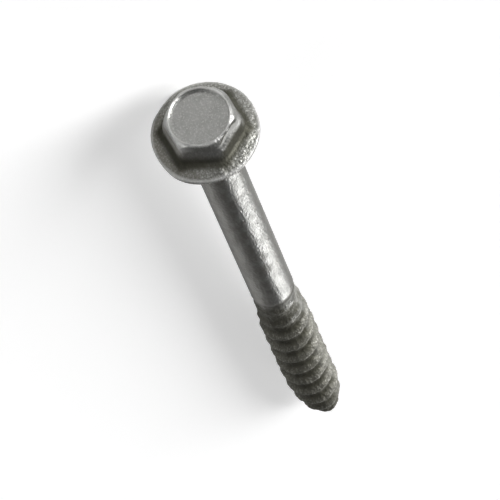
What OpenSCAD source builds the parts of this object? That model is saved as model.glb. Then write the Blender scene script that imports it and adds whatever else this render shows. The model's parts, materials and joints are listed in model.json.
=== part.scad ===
// Structural connector screw: a hex washer head, a plain shank, a coarse wood thread and a threaded point.
// It is one cold-headed and thread-rolled piece. It lies on the floor at z = 0, on the washer's rim and on
// the last full crest of its thread, with the head towards +X and the point towards -X.

/* [Hex head] */
// Across the flats, where the hex meets the washer
hex_af = 6.35; // [5.6:0.05:7.2]
// Across the blunted corners, where the hex meets the washer
hex_corner_d = 7.0; // [6.8:0.05:8]
// From the bearing face to the top of the raised rim
head_h = 3.45; // [3:0.05:4]
// Lean of the six flats, in degrees
hex_draft = 5; // [1:0.5:8]
// Radius that rounds off the top edge of the flats
hex_edge_r = 0.2; // [0.1:0.05:0.35]
// Radius that rounds off the top of the corners
hex_crown_r = 0.8; // [0.5:0.05:1]
// Radius of the fillet between the hex and the washer
hex_fillet_r = 0.5; // [0.2:0.05:0.6]
// Diameter of the round recess in the top of the head
recess_d = 5.1; // [3.5:0.1:5.2]
// Depth of the recess below the rim
recess_depth = 0.28; // [0.1:0.02:0.6]
// Radius that rounds off the inner edge of the rim
rim_r = 0.16; // [0.05:0.01:0.25]
// Turn of the hex about the screw's axis, in degrees
hex_turn = 37; // [0:1:60]

/* [Washer] */
// Outer diameter of the washer
washer_d = 9.3; // [8.8:0.1:11]
// Thickness of the washer at its rim
washer_edge_t = 0.45; // [0.3:0.05:0.7]
// Height of the washer's cone at the foot of the hex
washer_rise = 0.9; // [0.75:0.05:1.3]
// Bevel on both edges of the washer's rim
washer_bevel = 0.1; // [0.05:0.01:0.14]

/* [Shank] */
// From the bearing face to the tip
length = 63.5; // [50:0.5:90]
// Diameter of the plain shank
shank_d = 4.1; // [3.9:0.05:4.6]
// Length of the plain shank, from the bearing face to the start of the thread
shank_l = 32.6; // [20:0.1:38]
// Radius of the fillet under the washer
neck_r = 0.3; // [0.1:0.05:0.5]

/* [Thread] */
// Diameter over the crests
thread_d = 4.9; // [4.7:0.05:5.6]
// Diameter at the root
root_d = 3.9; // [3.4:0.05:4.2]
// From one crest to the next
pitch = 2.75; // [2.4:0.05:3.5]
// Width of the crest
crest_w = 0.7; // [0.4:0.05:0.9]
// Width of each flank, measured along the screw
flank_w = 0.6; // [0.4:0.05:0.7]
// Length over which the first thread rises from the shank
lead_in = 7.5; // [2.5:0.25:9]

/* [Point] */
// Length of the bullet-shaped point
point_l = 8.8; // [6:0.2:12]
// Fullness of the point's outline: 1 gives a parabola and 2 an ellipse
point_power = 1.5; // [1.2:0.1:2.2]
// Length of the bare tip, beyond the end of the thread
tip_l = 1.5; // [1.2:0.1:2.5]
// Share of the thread's height that is lost along the point
point_fade = 0.45; // [0.2:0.05:0.7]
// Length over which the thread sinks into the point at its end
lead_out = 1.4; // [1:0.1:3]

/* [Hidden] */
$fn = 96;

// The stem is measured by s, the distance from the bearing face towards the tip
taper_s = length - point_l;
thread_end_s = length - tip_l;
lead_end_s = min(shank_l + lead_in, taper_s);
sink_s = thread_end_s - lead_out;
root_step_s = shank_l + (shank_d - root_d) / 2;

// Each arc of an outline is drawn in this many steps, and the outline of the point in this many
arc_steps = 8;
point_steps = 16;

// The hex starts inside the washer, and its fillet dips this far below the washer's top so that they cross
hex_seat_z = washer_edge_t / 2;
fillet_dip = 0.03;
washer_slope = atan((washer_rise - washer_edge_t) / (washer_d / 2 - washer_bevel - hex_af / 2));

// The screw leans by the angle of the line that touches the washer's rim and the last full crest
crest_reach = taper_s + crest_w / 2;
lean = atan((washer_d - thread_d) / 2 / (crest_reach + washer_bevel));
axis_height = washer_d / 2 * cos(lean) - washer_bevel * sin(lean);
mid_shift = (length - head_h) / 2 * cos(lean);

// The thread is swept in steps of one turn's share
thread_steps_per_turn = 24;
thread_steps = round((thread_end_s - shank_l) / pitch * thread_steps_per_turn);
thread_sink = 0.3;
crest_round = 0.12;

// Points on an arc around a centre, from one angle to another
function arc(centre, r, from, to) =
    [for (i = [0 : arc_steps]) let (a = from + (to - from) * i / arc_steps)
        centre + r * [cos(a), sin(a)]];

// Half width of a drafted side that measures half_base at the washer's top
function drafted(half_base, z) = half_base - (z - washer_rise) * tan(hex_draft);

// Centre of the rounding between a drafted side and the top face
function edge_centre(half_base, r) =
    [drafted(half_base, head_h - r) - r / cos(hex_draft), head_h - r];

// Where a drafted side meets the washer's cone
function foot(half_base) =
    let (
        k = tan(washer_slope) * tan(hex_draft),
        x = (half_base - hex_af / 2 * k) / (1 - k)
    )
    [x, washer_rise - (x - hex_af / 2) * tan(washer_slope)];

// Centre of the fillet that touches a drafted side and runs out along the washer's cone
function fillet_centre(half_base) =
    foot(half_base) - [0, fillet_dip]
    + hex_fillet_r / (1 + sin(washer_slope + hex_draft))
        * [cos(hex_draft) + sin(washer_slope), sin(hex_draft) + cos(washer_slope)];

// Half of a hex outline: a filleted foot, a drafted side and a rounded top edge
function side_outline(half_base, edge_r) =
    let (fillet = arc(fillet_centre(half_base), hex_fillet_r, 270 - washer_slope, 180 + hex_draft))
    concat([[fillet[0][0], hex_seat_z]], fillet, arc(edge_centre(half_base, edge_r), edge_r, hex_draft, 90));

// The outline of one pair of flats
function flats_outline() =
    let (half = side_outline(hex_af / 2, hex_edge_r))
    concat(half, [for (i = [len(half) - 1 : -1 : 0]) [-half[i][0], half[i][1]]]);

// Recess in the top of the head, with a rounded inner edge to its rim
function recess_outline() =
    let (shoulder = recess_d / 2 + rim_r)
    concat(
        [[shoulder, head_h]],
        arc([shoulder, head_h - rim_r], rim_r, 90, 180),
        [[recess_d / 2 - recess_depth, head_h - recess_depth], [0, head_h - recess_depth]]);

// Core of the stem along s, without the thread
function core_r(s) =
    s < shank_l ? shank_d / 2
    : s < root_step_s ? shank_d / 2 - (s - shank_l)
    : s < taper_s ? root_d / 2
    : root_d / 2 * sqrt(max(0, 1 - pow((s - taper_s) / point_l, point_power)));

// Outline of the point, in steps that shorten towards the tip
function point_outline() =
    [for (i = [0 : point_steps]) let (s = taper_s + point_l * sin(90 * i / point_steps))
        [core_r(s), -s]];

// Where the crest lies below the core's skin, at both ends of the thread
function buried_r(s) = core_r(s) - thread_sink / 2;

// Height of the thread along the point
function point_height(s) =
    (thread_d - root_d) / 2 * (1 - point_fade * (s - taper_s) / (thread_end_s - taper_s));

// Crest of the thread along s: it rises out of the shank, runs full and sinks into the end of the point
function crest_r(s) =
    s < lead_end_s ? buried_r(s) + (thread_d / 2 - buried_r(s)) * (s - shank_l) / (lead_end_s - shank_l)
    : s < taper_s ? thread_d / 2
    : s < sink_s ? core_r(s) + point_height(s)
    : buried_r(s) + (point_height(s) + thread_sink / 2) * (thread_end_s - s) / lead_out;

// Section of the thread at s, as pairs of a radius and a step along the screw
function thread_section(s) =
    let (
        crest = crest_r(s),
        root = core_r(s) - thread_sink,
        half = crest_w / 2
    )
    [[root, half + flank_w], [crest - crest_round, half], [crest, half - crest_round],
     [crest, crest_round - half], [crest - crest_round, -half], [root, -half - flank_w]];

// The section at s, turned to its place on a right-hand helix whose last full crest faces +X
function thread_ring(s) =
    let (turn = 360 * (taper_s - s) / pitch)
    [for (p = thread_section(s)) [p[0] * cos(turn), p[0] * sin(turn), -s - p[1]]];

module stem() {
    rotate_extrude()
        polygon(concat(
            [[0, hex_seat_z], [shank_d / 2 + neck_r, hex_seat_z]],
            arc([shank_d / 2 + neck_r, -neck_r], neck_r, 90, 180),
            [[shank_d / 2, -shank_l], [root_d / 2, -root_step_s]],
            point_outline()));
}

module thread() {
    side = len(thread_section(shank_l));
    last = thread_steps * side;
    points = [for (i = [0 : thread_steps])
        each thread_ring(shank_l + (thread_end_s - shank_l) * i / thread_steps)];
    walls = [for (i = [0 : thread_steps - 1], j = [0 : side - 1])
        let (a = i * side + j, b = i * side + (j + 1) % side)
        each [[a, b + side, b], [a, a + side, b + side]]];
    polyhedron(points, concat(
        walls,
        [[for (j = [0 : side - 1]) j]],
        [[for (j = [side - 1 : -1 : 0]) last + j]]));
}

module washer() {
    rotate_extrude()
        polygon([
            [0, 0],
            [washer_d / 2 - washer_bevel, 0],
            [washer_d / 2, washer_bevel],
            [washer_d / 2, washer_edge_t - washer_bevel],
            [washer_d / 2 - washer_bevel, washer_edge_t],
            [hex_af / 2, washer_rise],
            [0, washer_rise]]);
}

module flats(turn) {
    rotate([0, 0, turn])
        rotate([90, 0, 0])
            linear_extrude(height = washer_d, center = true)
                polygon(flats_outline());
}

module hex() {
    difference() {
        intersection() {
            rotate_extrude()
                polygon(concat(side_outline(hex_corner_d / 2, hex_crown_r), [[0, head_h], [0, hex_seat_z]]));
            flats(0);
            flats(60);
            flats(120);
        }
        rotate_extrude()
            polygon(concat([[0, head_h + 1], [recess_d / 2 + rim_r, head_h + 1]], recess_outline()));
    }
}

module connector_screw() {
    color("darkgray")
        translate([mid_shift, 0, axis_height])
            rotate([0, 90 - lean, 0])
                union() {
                    washer();
                    rotate([0, 0, hex_turn])
                        hex();
                    stem();
                    thread();
                }
}

connector_screw();
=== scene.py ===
"""A galvanised structural connector screw with a hex washer head, lying on a pale studio floor."""

import json
import math
from types import SimpleNamespace

import bmesh
import bpy
from bpy.props import FloatProperty, FloatVectorProperty, IntProperty, PointerProperty
from mathutils import Matrix, Quaternion, Vector


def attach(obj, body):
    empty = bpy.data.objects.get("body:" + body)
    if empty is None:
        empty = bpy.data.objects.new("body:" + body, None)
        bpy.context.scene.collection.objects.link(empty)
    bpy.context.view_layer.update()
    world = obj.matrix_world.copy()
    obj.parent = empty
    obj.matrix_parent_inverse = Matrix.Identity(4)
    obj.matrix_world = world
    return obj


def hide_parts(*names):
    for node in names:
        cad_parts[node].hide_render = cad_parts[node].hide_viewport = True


bl_info = {
    "name": "Structural connector screw",
    "version": (1, 0, 0),
    "blender": (4, 5, 0),
    "location": "View3D > Sidebar > Screw",
    "description": "Models a galvanised hex washer head screw and its studio",
    "category": "Add Mesh",
}

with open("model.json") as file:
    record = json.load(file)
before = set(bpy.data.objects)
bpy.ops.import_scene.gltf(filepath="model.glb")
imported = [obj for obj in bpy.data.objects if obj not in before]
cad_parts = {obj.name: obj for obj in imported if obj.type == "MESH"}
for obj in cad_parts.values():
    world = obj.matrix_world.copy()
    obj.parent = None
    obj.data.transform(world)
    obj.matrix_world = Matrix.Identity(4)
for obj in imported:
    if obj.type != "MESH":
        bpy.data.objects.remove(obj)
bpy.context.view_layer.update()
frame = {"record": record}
MM = 0.001
NODE = "connector_screw"
PICTURE_PX = 500
SENSOR_MM = 36

# Places that lie closer together than this are taken as one
SLACK = 0.002 * MM

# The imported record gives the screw's axis, its bearing face and the sizes of its mounts
MOUNTS = {mount["name"]: mount for mount in frame["record"]["mounts"]}
SIZES = {name: mount["dims"] for name, mount in MOUNTS.items()}
SHANK_L = SIZES["shank"]["length_mm"] * MM
TIP_WARD = Vector(MOUNTS["shank"]["axis"]).normalized()
BEARING = Vector(MOUNTS["shank"]["pos_m"]) - TIP_WARD * SHANK_L / 2
HEAD_H = (Vector(MOUNTS["hex_drive"]["pos_m"]) - BEARING).length
SIDE_WARD = Vector((0, 1, 0))
FLOOR_WARD = SIDE_WARD.cross(-TIP_WARD)


def length(label, text, millimetres):
    """A size, with a default in millimetres."""
    return FloatProperty(
        name=label, description=text, default=millimetres * MM, precision=5, unit="LENGTH",
        subtype="DISTANCE")


def angle(label, text, degrees):
    """An angle, with a default in degrees."""
    return FloatProperty(name=label, description=text, default=math.radians(degrees), subtype="ANGLE")


def colour(label, text, default):
    """A linear colour."""
    return FloatVectorProperty(name=label, description=text, default=default, subtype="COLOR", min=0, max=1)


class HeadSettings(bpy.types.PropertyGroup):
    """Sizes of the hex and the washer."""

    hex_af: length("Across flats", "Width of the hex at the washer", 2 * SIZES["hex_drive"]["r_mm"])
    head_h: length("Head height", "From the bearing face to the top of the rim", HEAD_H / MM)
    corner_cut: length("Corner cut", "How far the rounding reaches along each flat from a corner", 0.62)
    edge_r: length("Edge radius", "Rounding of the top edge of the flats", 0.2)
    crown_r: length("Crown radius", "Rounding of the top of the corners", 0.8)
    fillet_r: length("Foot fillet", "Rounding between the hex and the washer", 0.5)
    recess_d: length("Recess", "Diameter of the round recess in the top", 5.1)
    recess_depth: length("Recess depth", "Depth of the recess below the rim", 0.28)
    rim_r: length("Rim radius", "Rounding of the rim's inner edge", 0.16)
    washer_d: length("Washer", "Outer diameter of the washer", 9.3)
    washer_edge_t: length("Washer edge", "Thickness of the washer at its rim", 0.45)
    washer_rise: length("Washer rise", "Height of the washer's cone at the foot of the hex", 0.9)
    washer_round: length("Washer rounding", "Rounding of both edges of the washer's rim", 0.12)
    off_centre: length("Off centre", "How far the head sits to one side of the shank's axis", 0.11)
    draft: angle("Draft", "Lean of the flats", 5)
    turn: angle("Turn", "Turn of the hex about the axis", 37)


class StemSettings(bpy.types.PropertyGroup):
    """Sizes of the shank, the thread and the point."""

    length: length(
        "Length", "From the bearing face to the tip", SHANK_L / MM + SIZES["wood_thread"]["length_mm"])
    shank_d: length("Shank", "Diameter of the plain shank", 2 * SIZES["shank"]["r_mm"])
    shank_l: length("Shank length", "From the bearing face to the start of the thread", SHANK_L / MM)
    neck_r: length("Neck fillet", "Rounding under the washer", 0.3)
    thread_d: length("Thread", "Diameter over the crests", 2 * SIZES["wood_thread"]["r_mm"])
    root_d: length("Root", "Diameter at the root of the thread", 3.9)
    pitch: length("Pitch", "From one crest to the next", 2.75)
    crest_w: length("Crest", "Width of the crest", 0.7)
    flank_w: length("Flank", "Width of each flank, measured along the screw", 0.6)
    lead_in: length("Lead-in", "Length over which the first thread rises", 7.5)
    lead_out: length("Lead-out", "Length over which the thread sinks into the point at its end", 1.4)
    point_l: length("Point", "Length of the bullet-shaped point", 8.8)
    point_power: FloatProperty(
        name="Fullness", default=1.5,
        description="Fullness of the point's outline, 1 for a parabola and 2 for an ellipse")
    point_fade: FloatProperty(
        name="Fade", description="Share of the thread's height that is lost along the point", default=0.45)
    point_bend: length("Point bend", "How far the tip stands off the axis", 0.3)
    tip_l: length("Bare tip", "Length of the tip beyond the thread", 1.5)
    segments: IntProperty(
        name="Segments", description="Sides of every ring, a multiple of 24", default=168, min=48)


class ZincSettings(bpy.types.PropertyGroup):
    """Roughness and colours of the zinc coating, with painted shade and painted highlights among the
    colours.
    """

    thread_lumps: length("Thread lumps", "Height of the coating's lumps on the thread", 0.17)
    thread_grain: length("Thread grain", "Height of the coating's grains on the thread", 0.09)
    washer_grain: length("Washer grain", "Height of the coating's grains on the washer", 0.05)
    rim_wobble: length("Rim wobble", "Unevenness of the washer's rim", 0.2)
    pale: colour("Pale zinc", "Clean zinc on the head and the shank", (0.36, 0.36, 0.345))
    dull: colour("Dull zinc", "Dull patches on the head and the shank", (0.29, 0.29, 0.274))
    # Real wear on edges and clean grains on the hex, and also painted highlights on the bruised flat, the
    # crown's far side and the thread's crests
    wear_and_sheen: colour("Worn zinc", "Burnished edges, and clean grains on the hex", (0.64, 0.64, 0.62))
    # Real pale grains on the washer, and painted light along one side of the thread
    grit_and_light: colour(
        "Grit", "Pale grains on the washer and along one side of the thread", (0.64, 0.64, 0.615))
    # Painted shade, brownish: one side of the washer, of the hex walls and of the shank, and the shank's
    # other edge
    side_shade: colour(
        "Stain", "Brownish tone of dull sides of the washer, the hex and the shank", (0.165, 0.155, 0.13))
    speck: colour("Specks", "Dark pits between the washer's grains", (0.285, 0.285, 0.26))
    olive: colour("Thread zinc", "Olive grey of the coarse coat on the thread", (0.36, 0.354, 0.315))
    # Painted shade: the thread's grooves, the hex's foot, under the washer, the shank's end, the bruised
    # flat and one side of the thread
    painted_shade: colour("Grime", "Dark coat in grooves and corners", (0.08, 0.078, 0.058))


class StageSettings(bpy.types.PropertyGroup):
    """The floor, the lights and the camera."""

    floor: colour("Floor", "Pale floor", (0.76, 0.76, 0.76))
    backdrop: colour("Backdrop", "Far border of the floor", (0.65, 0.65, 0.65))
    floor_lift: FloatProperty(
        name="Floor lift", description="Paleness added where the camera sees the floor", default=0.5)
    mirrored_share: FloatProperty(
        name="Mirrored share", description="Share of that paleness that reflections show", default=0.25)
    view_off_axis: angle("View off axis", "Angle between the view and the screw's axis", 25.8)
    view_roll: angle("View roll", "Turn of the axis in the picture, from straight down", 23.85)
    focal_px: FloatProperty(name="Focal length", description="In pixels of the picture", default=3900)
    scale_px: FloatProperty(
        name="Scale", description="Pixels to a millimetre at the bearing face", default=11.95)
    bearing_px: FloatVectorProperty(
        name="Bearing face", description="Its centre in the picture, in pixels", size=2,
        default=(204.5, 133.8))


# Paths of the creases on the washer, as turns in degrees from the hex's own and radii in millimetres
CREASES = (
    ((229.5, 3.24), (210, 3.48), (200, 3.82), (200.5, 4.2)),
    ((140.5, 3.84), (142, 4.14), (143, 4.48)),
)


# Small tools for modelling


def arc(centre, radius, start, end, steps):
    """Points on an arc, as pairs of a radius and a height, from one angle in degrees to another."""
    angles = [math.radians(start + (end - start) * i / steps) for i in range(steps + 1)]
    return [(centre[0] + radius * math.cos(a), centre[1] + radius * math.sin(a)) for a in angles]


def straight(start, end, steps):
    """Points on a line, without its start."""
    return [
        (start[0] + (end[0] - start[0]) * i / steps, start[1] + (end[1] - start[1]) * i / steps)
        for i in range(1, steps + 1)]


def smooth(low, high, value):
    """0 below low, 1 above high and a smooth rise between them."""
    share = min(max((value - low) / (high - low), 0), 1)
    return share * share * (3 - 2 * share)


def rise(low, high, value):
    """0 below a limit in millimetres, 1 above another and a smooth rise between them."""
    return smooth(low * MM, high * MM, value)


def fall(low, high, value):
    """1 below a limit in millimetres, 0 above another and a smooth fall between them."""
    return 1 - rise(low, high, value)


def peak(width, value):
    """1 at zero and a round drop to both sides, of a width in millimetres."""
    return math.exp(-(value / (width * MM)) ** 2)


def select_vertices(test):
    """Selects the vertices of the mesh in edit mode that pass a test of their place."""
    mesh = bmesh.from_edit_mesh(bpy.context.edit_object.data)
    bpy.ops.mesh.select_all(action="DESELECT")
    for vertex in mesh.verts:
        vertex.select = test(vertex.co)
    mesh.select_flush(True)
    bmesh.update_edit_mesh(bpy.context.edit_object.data)


def select_edges(test):
    """Selects the edges of the mesh in edit mode that pass a test of their two ends."""
    mesh = bmesh.from_edit_mesh(bpy.context.edit_object.data)
    bpy.ops.mesh.select_all(action="DESELECT")
    for edge in mesh.edges:
        if test(edge.verts[0].co, edge.verts[1].co):
            edge.select_set(True)
    bmesh.update_edit_mesh(bpy.context.edit_object.data)


def on_ring(co, radius, z):
    """Whether a place is on the round ring at a height."""
    return abs(co.z - z) < SLACK and abs(co.xy.length - radius) < SLACK


def select_ring(radius, z):
    """Selects the round ring at a height."""
    select_vertices(lambda co: on_ring(co, radius, z))


def draw_rings(outline):
    """Extrudes the selected ring along the rest of an outline of radii and heights."""
    for (radius, z), (new_radius, new_z) in zip(outline, outline[1:]):
        bpy.ops.mesh.extrude_region_move(TRANSFORM_OT_translate={"value": (0, 0, new_z - z)})
        share = new_radius / radius
        bpy.ops.transform.resize(value=(share, share, 1), center_override=(0, 0, new_z))


def cut_wall(low, high, cuts):
    """Cuts the wall between two rings into even bands."""

    def upright(a, b):
        bottom, top = sorted((a.z, b.z))
        return abs(bottom - low) < SLACK and abs(top - high) < SLACK

    select_edges(upright)
    bpy.ops.mesh.subdivide(number_cuts=cuts)


def push(piece, name, strength, rule, texture=None, direction="NORMAL"):
    """Weighs the vertices by a rule of place, pushes them by their weights and applies it."""
    group = piece.vertex_groups.new(name=name)
    for vertex in piece.data.vertices:
        weight = rule(vertex.co)
        if weight > 0.001:
            group.add([vertex.index], min(weight, 1), "REPLACE")
    modifier = piece.modifiers.new(name, "DISPLACE")
    modifier.strength = strength
    modifier.mid_level = 0.5 if texture else 0
    modifier.vertex_group = name
    modifier.texture_coords = "LOCAL"
    modifier.texture = texture
    modifier.direction = direction
    bpy.ops.object.modifier_apply(modifier=name)


def clouds(name, grain_mm, depth):
    """A cloudy texture for lumps of one size."""
    texture = bpy.data.textures.new(name, "CLOUDS")
    texture.noise_scale = grain_mm * MM
    texture.noise_depth = depth
    return texture


# The screw


def thread_height(stem, co):
    """Height of the thread at a place on the stem, from 0 at the root to 1 at a full crest."""
    down = -co.z
    taper_at = stem.length - stem.point_l
    end_at = stem.length - stem.tip_l
    if down < stem.shank_l or down > end_at:
        return 0
    turns = (down - taper_at) / stem.pitch + math.atan2(co.y, co.x) / math.tau
    off = abs(turns - round(turns)) * stem.pitch
    shape = 1 - smooth(0, stem.crest_w / 2 + stem.flank_w, off)
    rise = min((down - stem.shank_l) / stem.lead_in, 1)
    fade = 1 - stem.point_fade * max(0, down - taper_at) / (end_at - taper_at)
    return shape * rise * fade * min((end_at - down) / stem.lead_out, 1)


def model_stem(stem):
    """The shank, the core of the thread and the point, from one ring."""
    thread_cuts, shank_cuts, point_rings = 190, 60, 80
    root_r, shank_r = stem.root_d / 2, stem.shank_d / 2
    taper_z = stem.point_l - stem.length
    root_z = -stem.shank_l - (shank_r - root_r)
    bpy.ops.mesh.primitive_circle_add(vertices=stem.segments, radius=root_r, location=(0, 0, taper_z))
    bpy.ops.object.transform_apply(location=True)
    bpy.ops.object.mode_set(mode="EDIT")
    draw_rings([(root_r, taper_z), (root_r, root_z), (shank_r, -stem.shank_l), (shank_r, -stem.neck_r)])
    cut_wall(taper_z, root_z, thread_cuts)
    cut_wall(-stem.shank_l, -stem.neck_r, shank_cuts)
    select_ring(root_r, taper_z)
    shares = [math.sin(math.pi / 2 * i / point_rings) for i in range(point_rings)]
    draw_rings([(root_r * math.sqrt(1 - u ** stem.point_power), taper_z - stem.point_l * u) for u in shares])
    bpy.ops.mesh.merge(type="CENTER")


def washer_slope(head):
    """Slope of the washer's cone."""
    return math.atan((head.washer_rise - head.washer_edge_t) / (head.washer_d / 2 - head.hex_af / 2))


def cone_z(head, radius):
    """Height of the washer's top at a radius."""
    return head.washer_rise - (radius - head.hex_af / 2) * math.tan(washer_slope(head))


def model_washer(head, stem):
    """The washer, from the top ring of the shank out to its rim and back in towards the hex."""
    shank_r, neck_r, round_r = stem.shank_d / 2, stem.neck_r, head.washer_round
    outer = head.washer_d / 2 - round_r
    inner_r = 4.2 * MM
    under = arc((shank_r + neck_r, -neck_r), neck_r, 180, 90, 5)
    lower_edge = arc((outer, round_r), round_r, 270, 360, 6)
    upper_edge = arc((outer, head.washer_edge_t - round_r), round_r, 0, 70, 6)
    outline = under + straight(under[-1], lower_edge[0], 8) + lower_edge[1:] + upper_edge
    outline += straight(outline[-1], (inner_r, cone_z(head, inner_r)), 4)
    select_ring(shank_r, -neck_r)
    draw_rings(outline)
    return outline[-1]


def hex_outline(head):
    """Half section through the middle of a flat: the foot fillet, the drafted side and the top edge."""
    half, draft, slope = head.hex_af / 2, head.draft, washer_slope(head)
    reach = head.fillet_r / (1 + math.sin(slope + draft))
    centre = (
        half + reach * (math.cos(draft) + math.sin(slope)),
        head.washer_rise + reach * (math.sin(draft) + math.cos(slope)))
    fillet = arc(centre, head.fillet_r, 270 - math.degrees(slope), 180 + math.degrees(draft), 6)
    edge_z = head.head_h - head.edge_r
    edge_r = half - (edge_z - head.washer_rise) * math.tan(draft) - head.edge_r / math.cos(draft)
    edge = arc((edge_r, edge_z), head.edge_r, math.degrees(draft), 90, 12)
    return fillet + straight(fillet[-1], edge[0], 14) + edge[1:]


def model_hex(head, stem, washer_top):
    """The hex, from a six-sided ring with rounded corners, with its raised rim and its recess."""
    outline = hex_outline(head)
    foot_half, foot_z = outline[0]
    side_steps = stem.segments // 6
    corner_steps = side_steps // 4
    shortest_flat, hub_share = 1.5 * MM, 0.05
    bpy.ops.mesh.select_all(action="DESELECT")
    bpy.ops.mesh.primitive_circle_add(
        vertices=6, radius=foot_half / math.cos(math.pi / 6), location=(0, 0, foot_z),
        rotation=(0, 0, head.turn))
    bpy.ops.mesh.bevel(
        offset=head.corner_cut * foot_half / head.hex_af * 2, segments=corner_steps, affect="VERTICES")
    select_edges(
        lambda a, b: abs(a.z - foot_z) + abs(b.z - foot_z) < SLACK and (a - b).length > shortest_flat)
    bpy.ops.mesh.subdivide(number_cuts=side_steps - corner_steps - 1)
    select_vertices(lambda co: abs(co.z - foot_z) < SLACK)
    draw_rings(outline)
    bpy.ops.mesh.extrude_region_move(TRANSFORM_OT_translate={"value": (0, 0, 0)})
    bpy.ops.transform.tosphere(value=1)
    mesh = bmesh.from_edit_mesh(bpy.context.edit_object.data)
    ring = [vertex.co.xy.length for vertex in mesh.verts if vertex.select]
    round_start = (sum(ring) / len(ring), head.head_h)
    shoulder = head.recess_d / 2 + head.rim_r
    floor_r = head.recess_d / 2 - head.recess_depth
    floor_z = head.head_h - head.recess_depth
    inner = arc((shoulder, head.head_h - head.rim_r), head.rim_r, 90, 180, 6)
    recess = [round_start] + inner + straight(inner[-1], (floor_r, floor_z), 4)
    draw_rings(recess + straight((floor_r, floor_z), (floor_r * hub_share, floor_z), 20))
    bpy.ops.mesh.merge(type="CENTER")
    select_vertices(lambda co: abs(co.z - foot_z) < SLACK or on_ring(co, *washer_top))
    bpy.ops.mesh.bridge_edge_loops(number_cuts=5)


def crown_corners(piece, head):
    """Rounds the tops of the six corners down and draws them in a little."""
    blunting, drop, steepest, foot_gap = 0.17 * MM, 0.45 * MM, 0.95, 0.4 * MM
    crown_h, corner_r, draw_in, spread = 0.9 * MM, 2.98 * MM, 0.95, 0.6 * MM
    foot_r = head.hex_af / 2 / math.cos(math.pi / 6) - blunting
    start = foot_r - (head.head_h - head.washer_rise) * math.tan(head.draft) - head.crown_r

    def rule(co):
        off = min(max((co.xy.length - start) / head.crown_r, 0), steepest)
        fade = smooth(head.washer_rise + foot_gap, head.head_h, co.z)
        return fade * head.crown_r * (1 - math.sqrt(1 - off * off)) / drop

    push(piece, "Crown", -drop, rule, direction="Z")
    bpy.ops.object.mode_set(mode="EDIT")
    select_vertices(lambda co: co.z > head.head_h - crown_h and co.xy.length > corner_r)
    bpy.ops.transform.resize(
        value=(draw_in, draw_in, 1), center_override=(0, 0, head.head_h), use_proportional_edit=True,
        proportional_edit_falloff="SMOOTH", proportional_size=spread)
    bpy.ops.object.mode_set(mode="OBJECT")


def bruise_place(head, co):
    """A place near the bruised flat: its distance along the flat from the middle, and out from the axis."""
    facing = Vector((math.cos(head.turn + math.pi), math.sin(head.turn + math.pi)))
    return facing.cross(co.xy), co.xy.dot(facing)


def on_bruised(head, co, full, end):
    """1 on the bruised flat up to a distance from its middle and 0 beyond another, in millimetres."""
    along, out = bruise_place(head, co)
    return rise(2.7, 2.9, out) * fall(full, end, abs(along))


def bruise_share(head, co):
    """1 along the middle of the bruised flat and 0 at its corners and away from it."""
    return on_bruised(head, co, 1.1, 1.6) if co.z >= head.washer_rise else 0


def bruise_flat(piece, head):
    """Leans the top of one flat inwards."""
    depth = 0.12 * MM
    push(piece, "Bruise", -depth, lambda co: bruise_share(head, co) * rise(-1.2, -0.1, co.z - head.head_h))


def crease_washer(piece, head):
    """Raises two creases on the washer, where the metal flowed out from corners of the hex."""
    height, half_width, inner_r, below_edge = 0.08 * MM, 0.12, 3.1 * MM, 0.05 * MM
    creases = []
    for path in CREASES:
        turns = [(head.turn + math.radians(turn), radius * MM) for turn, radius in path]
        creases.append([Vector((math.cos(turn), math.sin(turn))) * radius for turn, radius in turns])

    def rule(co):
        if not head.washer_edge_t - below_edge <= co.z <= head.head_h / 2 or co.xy.length < inner_r:
            return 0
        gaps = []
        for path in creases:
            for start, end in zip(path, path[1:]):
                share = min(max((co.xy - start).dot(end - start) / (end - start).length_squared, 0), 1)
                gaps.append((co.xy - start - (end - start) * share).length)
        return peak(half_width, min(gaps))

    push(piece, "Crease", height, rule)


def edge_wear_and_sheen(head, co):
    """1 on the worn raised rim and the washer's worn edge, and painted highlight on a bar along the bruised
    flat and on the crown's far side.
    """
    radius, depth = co.xy.length, head.head_h - co.z
    bead_r, washer_r = head.recess_d / 2 + head.rim_r + 0.05 * MM, head.washer_d / 2
    rim = fall(0.12, 0.3, abs(radius - bead_r)) * fall(0.03, 0.14, depth)
    edge = rise(-0.25, -0.1, radius - washer_r) * rise(0.12, 0.28, co.z)
    # Painted highlight: a bar along the bruised flat and the crown on one side
    bar_end = 0.85 * MM + bruise_place(head, co)[0] * 0.22
    bar = on_bruised(head, co, 1.5, 1.9) * rise(0.14, 0.3, depth) * fall(-0.25, 0, depth - bar_end)
    crown = 0.8 * rise(1.2, 2.4, co.y) * fall(0.35, 0.7, depth) * rise(2.5, 2.7, radius)
    return max(rim, edge, bar, crown)


def stem_painted_shade(stem, co):
    """Painted shade: 1 in the neck under the washer and in a ring at the end of the shank, which fades on
    one side.
    """
    neck = fall(2.1, 2.7, co.xy.length) * rise(-1.2, -0.2, co.z)
    ring = peak(0.35, co.z + stem.shank_l + 0.1 * MM) * (1 - 0.7 * rise(-0.3, 0.9, co.y))
    return max(neck, ring)


def head_painted_shade(head, co):
    """Painted shade: 1 at the foot of the hex and, on the bruised flat, in a line under the rim and low
    down.
    """
    turns = [head.turn + math.pi / 3 * i for i in range(6)]
    reach = max(co.x * math.cos(turn) + co.y * math.sin(turn) for turn in turns)
    if reach > 4.2 * MM or co.z < 0.4 * MM:
        return 0
    line = bruise_share(head, co) * peak(0.06, co.z - head.head_h + 0.12 * MM)
    low = on_bruised(head, co, 1.4, 1.9) * fall(3.45, 3.8, bruise_place(head, co)[1]) * fall(2.0, 2.8, co.z)
    foot = fall(1.1, 2.6, co.z) * fall(3.4, 4.0, reach)
    return max(line, low, foot)


def painted_shade_share(head, stem, co):
    """Share of painted shade at a place on the screw."""
    return stem_painted_shade(stem, co) if co.z < 0.01 * MM else head_painted_shade(head, co)


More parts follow.
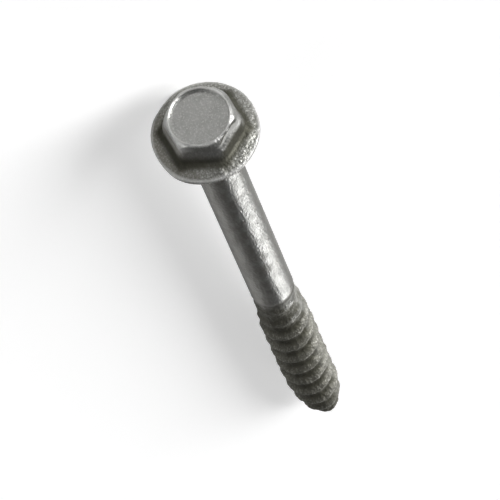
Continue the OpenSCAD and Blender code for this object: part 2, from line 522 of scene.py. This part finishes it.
def coat(piece, stem, zinc):
    """Gives the surface the lumps and grains of the zinc coating."""
    thread_top, thread_fade, bearing_gap = -stem.shank_l + 1.5 * MM, 4 * MM, 0.3 * MM

    def on_thread(co):
        return smooth(thread_top, thread_top - thread_fade, co.z) if co.z < thread_top else 0

    def on_washer(co):
        return rise(3.3, 3.8, co.xy.length) if co.z > bearing_gap else 0

    def on_rim(co):
        return rise(3.7, 4.5, co.xy.length)

    push(piece, "Wobble", zinc.rim_wobble, on_rim, clouds("wobble", 2.6, 0))
    push(piece, "Lumps", zinc.thread_lumps, on_thread, clouds("lumps", 0.65, 1))
    push(piece, "Grain", zinc.thread_grain, on_thread, clouds("grain", 0.26, 0))
    push(piece, "Speckle", zinc.washer_grain, on_washer, clouds("speckle", 0.2, 0))


def mark(piece, name, rule):
    """Stores a value for each vertex by a rule of place."""
    values = piece.data.attributes.new(name, "FLOAT", "POINT")
    values.data.foreach_set("value", [rule(vertex.co) for vertex in piece.data.vertices])


def shift_end(test, shift, spread):
    """Moves one end of the screw to one side, and what is near it less and less."""
    select_vertices(test)
    bpy.ops.transform.translate(
        value=(0, -shift, 0), use_proportional_edit=True, proportional_edit_falloff="SMOOTH",
        proportional_size=spread)


def set_off_axis(head, stem):
    """Sets the head a little to one side, and the tip too."""
    shift_end(lambda co: co.z > -0.05 * MM, head.off_centre, spread=6 * MM)
    shift_end(lambda co: co.z < -stem.length + 0.5 * MM, stem.point_bend, spread=12 * MM)


def upright_turn():
    """The turn from the upright screw, with its head up, to the lying one."""
    return Matrix((FLOOR_WARD, SIDE_WARD, -TIP_WARD)).transposed().to_quaternion()


def lay_down(piece):
    """Turns the upright screw to where it lies, and leaves the object at the origin."""
    piece.matrix_world = Matrix.LocRotScale(BEARING, upright_turn(), None)
    bpy.ops.object.transform_apply(location=True, rotation=True, scale=True)


class SCREW_OT_model(bpy.types.Operator):
    """Model the screw as one piece"""

    bl_idname = "screw.model"
    bl_label = "Model the screw"

    def execute(self, context):
        head, stem, zinc = context.scene.screw_head, context.scene.screw_stem, context.scene.screw_zinc
        bpy.ops.object.select_all(action="DESELECT")
        model_stem(stem)
        piece = context.object
        piece.name = "galvanised_screw"
        washer_top = model_washer(head, stem)
        model_hex(head, stem, washer_top)
        bpy.ops.mesh.select_all(action="SELECT")
        bpy.ops.mesh.normals_make_consistent(inside=False)
        bpy.ops.object.mode_set(mode="OBJECT")
        mark(piece, "crest", lambda co: thread_height(stem, co))
        # Wear on the rim and the washer's edge, and painted highlight on the bruised flat and the crown's
        # far side
        mark(piece, "wear_and_sheen", lambda co: edge_wear_and_sheen(head, co))
        # Painted shade at the foot of the hex, under the washer, at the end of the shank and on the bruised
        # flat
        mark(piece, "painted_shade", lambda co: painted_shade_share(head, stem, co))
        push(piece, "Thread", (stem.thread_d - stem.root_d) / 2, lambda co: thread_height(stem, co))
        crown_corners(piece, head)
        bruise_flat(piece, head)
        crease_washer(piece, head)
        coat(piece, stem, zinc)
        bpy.ops.object.mode_set(mode="EDIT")
        set_off_axis(head, stem)
        bpy.ops.object.mode_set(mode="OBJECT")
        lay_down(piece)
        bpy.ops.object.shade_smooth()
        piece.data.materials.append(zinc_material(stem, zinc))
        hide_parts(NODE)
        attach(piece, "root")
        return {"FINISHED"}


# The zinc coating


class Graph:
    """Short names for adding linked nodes to a node tree."""

    def __init__(self, tree):
        self.nodes, self.links = tree.nodes, tree.links

    def add(self, kind, settings=None, **inputs):
        """Adds a node, sets its properties and its inputs, and returns it."""
        node = self.nodes.new(kind)
        for name, value in (settings or {}).items():
            setattr(node, name, value)
        for name, value in inputs.items():
            socket = int(name[1:]) if name[1:].isdigit() else name.replace("_", " ")
            self.feed(node.inputs[socket], value)
        return node

    def feed(self, socket, value):
        """Links an output to an input, or sets the input's value."""
        if isinstance(value, bpy.types.NodeSocket):
            self.links.new(value, socket)
        elif socket.type == "RGBA":
            socket.default_value = (*value[:3], 1)
        else:
            socket.default_value = value

    def ramp(self, value, low, high, to_low=0.0, to_high=1.0):
        """A smooth rise from one value to another."""
        node = self.add(
            "ShaderNodeMapRange", {"interpolation_type": "SMOOTHSTEP"}, Value=value, From_Min=low,
            From_Max=high, To_Min=to_low, To_Max=to_high)
        return node.outputs["Result"]

    def math(self, operation, first, second=0.0):
        """One sum of two values."""
        return self.add("ShaderNodeMath", {"operation": operation}, i0=first, i1=second).outputs[0]

    def product(self, first, *others):
        """The product of several values."""
        for other in others:
            first = self.math("MULTIPLY", first, other)
        return first

    def total(self, first, *others):
        """The sum of several values."""
        for other in others:
            first = self.math("ADD", first, other)
        return first

    def scaled(self, vector, factors):
        """A vector times another, part by part."""
        node = self.add("ShaderNodeVectorMath", {"operation": "MULTIPLY"}, i0=vector, i1=factors)
        return node.outputs[0]

    def size(self, vector):
        """Length of a vector."""
        return self.add("ShaderNodeVectorMath", {"operation": "LENGTH"}, i0=vector).outputs["Value"]

    def blend(self, share, first, second):
        """A mix of two colours."""
        node = self.add("ShaderNodeMix", {"data_type": "RGBA"}, i0=share, i6=first, i7=second)
        return node.outputs[2]

    def attribute(self, name):
        """A value that is stored on the mesh."""
        return self.add("ShaderNodeAttribute", {"attribute_name": name}).outputs["Fac"]


def new_material(name):
    """A new material, its graph and its main shader."""
    material = bpy.data.materials.new(name)
    material.use_nodes = True
    return material, Graph(material.node_tree), material.node_tree.nodes["Principled BSDF"]


def coating_group():
    """A node group with the coating's grain, mottle and height, from a place in millimetres."""
    tree = bpy.data.node_groups.new("zinc_coating", "ShaderNodeTree")
    tree.interface.new_socket("Place", in_out="INPUT", socket_type="NodeSocketVector")
    for name in ("Grain", "Mottle", "Height"):
        tree.interface.new_socket(name, in_out="OUTPUT", socket_type="NodeSocketFloat")
    graph = Graph(tree)
    place = graph.add("NodeGroupInput").outputs["Place"]
    noise = "ShaderNodeTexNoise"
    fine = graph.add(noise, Vector=place, Scale=7.0, Detail=3.0, Roughness=0.6).outputs["Fac"]
    coarse = graph.add(noise, Vector=place, Scale=1.1, Detail=4.0, Roughness=0.55).outputs["Fac"]
    cells = graph.add("ShaderNodeTexVoronoi", Vector=place, Scale=4.5, Randomness=1.0).outputs["Distance"]
    grain = graph.ramp(graph.math("SUBTRACT", fine, graph.product(cells, 0.25)), 0.3, 0.6)
    mottle = graph.ramp(coarse, 0.35, 0.68)
    out = graph.add("NodeGroupOutput")
    graph.feed(out.inputs["Grain"], grain)
    graph.feed(out.inputs["Mottle"], mottle)
    graph.feed(out.inputs["Height"], graph.math("SUBTRACT", fine, cells))
    return tree


def zinc_zones(graph, stem):
    """Where a point lies on the upright screw, in millimetres, and what patterns and zones it is in."""
    upright = graph.add(
        "ShaderNodeMapping", {"vector_type": "TEXTURE"},
        Vector=graph.add("ShaderNodeTexCoord").outputs["Object"], Location=BEARING,
        Rotation=upright_turn().to_euler(), Scale=(MM, MM, MM)).outputs["Vector"]
    drawn_out = graph.scaled(upright, (1, 1, 0.5))
    coating = graph.add("ShaderNodeGroup", {"node_tree": coating_group()}, Place=drawn_out).outputs
    parts = graph.add("ShaderNodeSeparateXYZ", Vector=upright).outputs
    radius = graph.size(graph.scaled(upright, (1, 1, 0)))
    at = SimpleNamespace(axis=parts["Z"], across=parts["Y"], thread_z=-stem.shank_l / MM)
    at.grain, at.mottle, at.height = coating["Grain"], coating["Mottle"], coating["Height"]
    at.crest, at.wear_and_sheen, at.painted_shade = (graph.attribute(name) for name in ("crest", "wear_and_sheen", "painted_shade"))
    at.side = graph.total(at.across, at.mottle)
    on_head = graph.ramp(at.axis, -0.6, -0.2)
    at.on_hex = graph.product(on_head, graph.ramp(at.grain, 0, 1, 0.3, 0.74))
    at.on_washer = graph.product(on_head, graph.ramp(radius, 3.3, 3.8))
    ragged_axis = graph.total(at.axis, at.mottle)
    at.on_thread = graph.ramp(ragged_axis, at.thread_z + 0.8, at.thread_z - 1.3)
    # Painted shade low on the hex walls of one side, which are also rougher
    at.dull_wall = graph.product(
        graph.ramp(at.axis, 0.6, 0.9), graph.ramp(at.axis, 2.9, 2.4), graph.ramp(at.side, 1.0, 2.6, 0, 0.6))
    at.burnish = burnished_crests(graph, at, stem.lead_in / MM)
    return at


def burnished_crests(graph, at, lead_in):
    """Share of painted highlight on the first crests, where they rise from the shank on one side."""
    height = graph.ramp(at.axis, at.thread_z - lead_in, at.thread_z, 1.0, 0.12)
    ridge = graph.ramp(graph.math("DIVIDE", at.crest, height), 0.35, 0.75)
    return graph.product(
        ridge, graph.ramp(at.axis, at.thread_z - 5.5, at.thread_z - 2.5, 0, 0.8),
        graph.ramp(at.across, -0.1, -0.6), graph.ramp(at.across, -1.5, -1.1),
        graph.ramp(at.grain, 0, 0.6, 0.3, 1.0))


def satin_colour(graph, zinc, at):
    """Satin zinc: painted shade along both sides of the shank, clean on the hex and painted shade on its
    walls on one side.
    """
    patches = graph.product(at.mottle, graph.ramp(at.grain, 0, 1, 1.0, 0.4))
    satin = graph.blend(patches, zinc.pale, zinc.dull)
    # Painted shade along one side of the shank and along its other edge
    sides = graph.math(
        "MAXIMUM", graph.ramp(at.side, -0.1, 1.2, 0, 0.58), graph.ramp(at.side, -0.7, -1.3, 0, 0.5))
    satin = graph.blend(graph.product(sides, graph.ramp(at.axis, -1, 0, 1, 0)), satin, zinc.side_shade)
    satin = graph.blend(at.on_hex, satin, zinc.wear_and_sheen)
    return graph.blend(at.dull_wall, satin, zinc.side_shade)


def washer_colour(graph, zinc, at):
    """Pale grains and dark pits, with painted shade on one side."""
    washer = graph.blend(at.grain, zinc.speck, zinc.grit_and_light)
    return graph.blend(graph.ramp(at.side, 1.4, 4.0, 0, 0.6), washer, zinc.side_shade)


def thread_colour(graph, zinc, at):
    """Olive crests and grooves with painted shade, painted light along one side and painted shade on the
    other, with painted glints on the crests and a painted highlight on the first crests.
    """
    start = graph.ramp(at.axis, at.thread_z - 7, at.thread_z - 1, 0, 0.5)
    raised = graph.product(graph.math("MAXIMUM", at.crest, start), graph.ramp(at.grain, 0, 1, 0.35, 1.0))
    # Painted shade in the thread's grooves, between the crests
    thread = graph.blend(graph.ramp(raised, -0.1, 0.8), zinc.painted_shade, zinc.olive)
    glint = graph.product(graph.ramp(at.crest, 0.4, 0.9), graph.ramp(at.grain, 0.7, 1.0, 0, 0.35))
    thread = graph.blend(glint, thread, zinc.wear_and_sheen)
    # Painted light along one side of the thread, and painted shade on the other
    lit_side = graph.product(
        graph.ramp(at.side, -0.5, -1.8), graph.ramp(at.axis, at.thread_z - 9, at.thread_z - 2, 0.15, 0.5))
    thread = graph.blend(lit_side, thread, zinc.grit_and_light)
    thread = graph.blend(graph.ramp(at.side, -0.8, 0.4, 0, 0.38), thread, zinc.painted_shade)
    # Painted highlight on the first crests, on one side only
    return graph.blend(at.burnish, thread, zinc.wear_and_sheen)


def zinc_material(stem, zinc):
    """Mechanically galvanised steel: satin on the shank, grainy on the washer and coarse on the thread."""
    material, graph, shader = new_material("galvanised_zinc")
    at = zinc_zones(graph, stem)
    base = graph.blend(at.on_washer, satin_colour(graph, zinc, at), washer_colour(graph, zinc, at))
    base = graph.blend(at.on_thread, base, thread_colour(graph, zinc, at))
    # Wear on the rim and the washer's edge, and painted highlight on the bruised flat and the crown's far
    # side
    base = graph.blend(graph.product(at.wear_and_sheen, graph.ramp(at.grain, 0, 1, 0.75, 1.0)), base, zinc.wear_and_sheen)
    # Painted shade at the foot of the hex, under the washer, at the end of the shank and on the bruised flat
    base = graph.blend(graph.product(at.painted_shade, 0.9), base, zinc.painted_shade)
    roughness = graph.total(
        graph.ramp(at.mottle, 0, 1, 0.30, 0.38), graph.product(at.on_washer, 0.08),
        graph.product(at.on_thread, 0.26), graph.product(at.painted_shade, 0.3),
        graph.product(at.dull_wall, 0.3), graph.product(at.burnish, -0.3))
    metallic = graph.total(graph.ramp(at.on_thread, 0, 1, 0.97, 0.66), graph.product(at.wear_and_sheen, -0.45))
    strength = graph.total(graph.ramp(at.on_thread, 0, 1, 0.5, 0.9), graph.product(at.on_washer, 0.25))
    bump = graph.add("ShaderNodeBump", Height=at.height, Distance=0.05 * MM, Strength=strength)
    graph.feed(shader.inputs["Base Color"], base)
    graph.feed(shader.inputs["Roughness"], roughness)
    graph.feed(shader.inputs["Metallic"], metallic)
    graph.feed(shader.inputs["Normal"], bump.outputs["Normal"])
    return material


# The stage


def add_light(kind, name, place, energy, roll=0):
    """A light that faces the screw."""
    bpy.ops.object.light_add(type=kind, location=place)
    light = bpy.context.object
    light.name = name
    light.data.energy = energy
    light.rotation_mode = "QUATERNION"
    light.rotation_quaternion = (-Vector(place)).to_track_quat("-Z", "Y") @ Quaternion((0, 0, 1), roll)
    return light.data


def soft_sun(name, place, spread, strength):
    """A broad far light that shines from a direction."""
    light = add_light("SUN", name, place, strength)
    light.angle = spread


def soft_box(name, place, size, watts, roll):
    """A rectangular light that faces the screw."""
    light = add_light("AREA", name, place, watts, roll)
    light.shape = "RECTANGLE"
    light.size, light.size_y = size


def place_camera(stage):
    """Puts the camera at the viewing angle, with the bearing face at its place in the picture."""
    tilt, roll = stage.view_off_axis, stage.view_roll
    up_side = -FLOOR_WARD
    forward = math.cos(tilt) * TIP_WARD - math.sin(tilt) * up_side
    along = math.sin(tilt) * TIP_WARD + math.cos(tilt) * up_side
    right = math.sin(roll) * along - math.cos(roll) * SIDE_WARD
    down = math.cos(roll) * along + math.sin(roll) * SIDE_WARD
    px = MM / stage.scale_px
    across, below = ((pixel + 0.5 - PICTURE_PX / 2) * px for pixel in stage.bearing_px)
    place = BEARING - across * right - below * down - stage.focal_px * px * forward
    bpy.ops.object.camera_add()
    camera = bpy.context.object
    camera.matrix_world = Matrix.LocRotScale(
        place, Matrix((right, -down, -forward)).transposed().to_quaternion(), None)
    camera.data.sensor_width = SENSOR_MM
    camera.data.lens = stage.focal_px * SENSOR_MM / PICTURE_PX
    camera.data.clip_start = 0.01
    bpy.context.scene.camera = camera


def studio_world(strength):
    """An even dim surround."""
    world = bpy.data.worlds.new("studio")
    bpy.context.scene.world = world
    world.use_nodes = True
    background = world.node_tree.nodes["Background"]
    background.inputs["Color"].default_value = (1, 1, 1, 1)
    background.inputs["Strength"].default_value = strength


def floor_material(stage):
    """A pale matt floor that the camera, and reflections in part, see paler than its light makes it."""
    material, graph, shader = new_material("pale_floor")
    seen = graph.add("ShaderNodeLightPath").outputs
    mirrored = graph.math("MAXIMUM", seen["Is Glossy Ray"], seen["Is Transmission Ray"])
    direct = graph.math("MAXIMUM", seen["Is Camera Ray"], graph.product(mirrored, stage.mirrored_share))
    far = graph.size(graph.add("ShaderNodeTexCoord").outputs["Object"])
    lift = graph.ramp(far, 0.2, 0.9, stage.floor_lift, 0)
    base = graph.blend(graph.ramp(far, 0.3, 1.0), stage.floor, stage.backdrop)
    graph.feed(shader.inputs["Base Color"], base)
    graph.feed(shader.inputs["Roughness"], 0.9)
    graph.feed(shader.inputs["Specular IOR Level"], 0.0)
    graph.feed(shader.inputs["Emission Color"], (1, 1, 1))
    graph.feed(shader.inputs["Emission Strength"], graph.product(direct, lift))
    return material


def model_floor(stage):
    """A wide round floor whose far border curves up."""
    floor_r, cove_r = 1.6, 0.6
    bpy.ops.mesh.primitive_circle_add(vertices=96, radius=floor_r, fill_type="NGON", location=(0, 0, 0))
    floor = bpy.context.object
    floor.name = "studio_floor"
    bpy.ops.object.mode_set(mode="EDIT")
    select_edges(lambda a, b: True)
    draw_rings(arc((floor_r, cove_r), cove_r, -90, -30, 8))
    bpy.ops.object.mode_set(mode="OBJECT")
    bpy.ops.object.shade_smooth()
    floor.data.materials.append(floor_material(stage))


class SCREW_OT_stage(bpy.types.Operator):
    """Set up the floor, the lights and the camera"""

    bl_idname = "screw.stage"
    bl_label = "Set up the stage"

    def execute(self, context):
        stage = context.scene.screw_stage
        bpy.ops.object.select_all(action="DESELECT")
        model_floor(stage)
        studio_world(strength=0.09)
        soft_sun("key_light", place=(0.35, -0.87, 0.34), spread=math.radians(48), strength=5.0)
        soft_sun("fill_light", place=(0.22, 0.90, 0.36), spread=math.radians(30), strength=0.35)
        soft_box(
            "strip_light", place=(-0.606, -0.205, 0.125), size=(0.11, 0.30), watts=0.7,
            roll=math.radians(36))
        place_camera(stage)
        context.scene.view_settings.view_transform = "Standard"
        return {"FINISHED"}


class SCREW_PT_panel(bpy.types.Panel):
    """Sidebar panel with the screw's operators"""

    bl_label = "Connector screw"
    bl_space_type = "VIEW_3D"
    bl_region_type = "UI"
    bl_category = "Screw"

    def draw(self, context):
        self.layout.operator(SCREW_OT_model.bl_idname)
        self.layout.operator(SCREW_OT_stage.bl_idname)


CLASSES = (
    HeadSettings, StemSettings, ZincSettings, StageSettings,
    SCREW_OT_model, SCREW_OT_stage, SCREW_PT_panel)


def register():
    for cls in CLASSES:
        bpy.utils.register_class(cls)
    bpy.types.Scene.screw_head = PointerProperty(type=HeadSettings)
    bpy.types.Scene.screw_stem = PointerProperty(type=StemSettings)
    bpy.types.Scene.screw_zinc = PointerProperty(type=ZincSettings)
    bpy.types.Scene.screw_stage = PointerProperty(type=StageSettings)


def unregister():
    for name in ("screw_head", "screw_stem", "screw_zinc", "screw_stage"):
        delattr(bpy.types.Scene, name)
    for cls in reversed(CLASSES):
        bpy.utils.unregister_class(cls)


def main():
    register()
    bpy.ops.screw.model()
    bpy.ops.screw.stage()


if __name__ == "__main__":
    main()
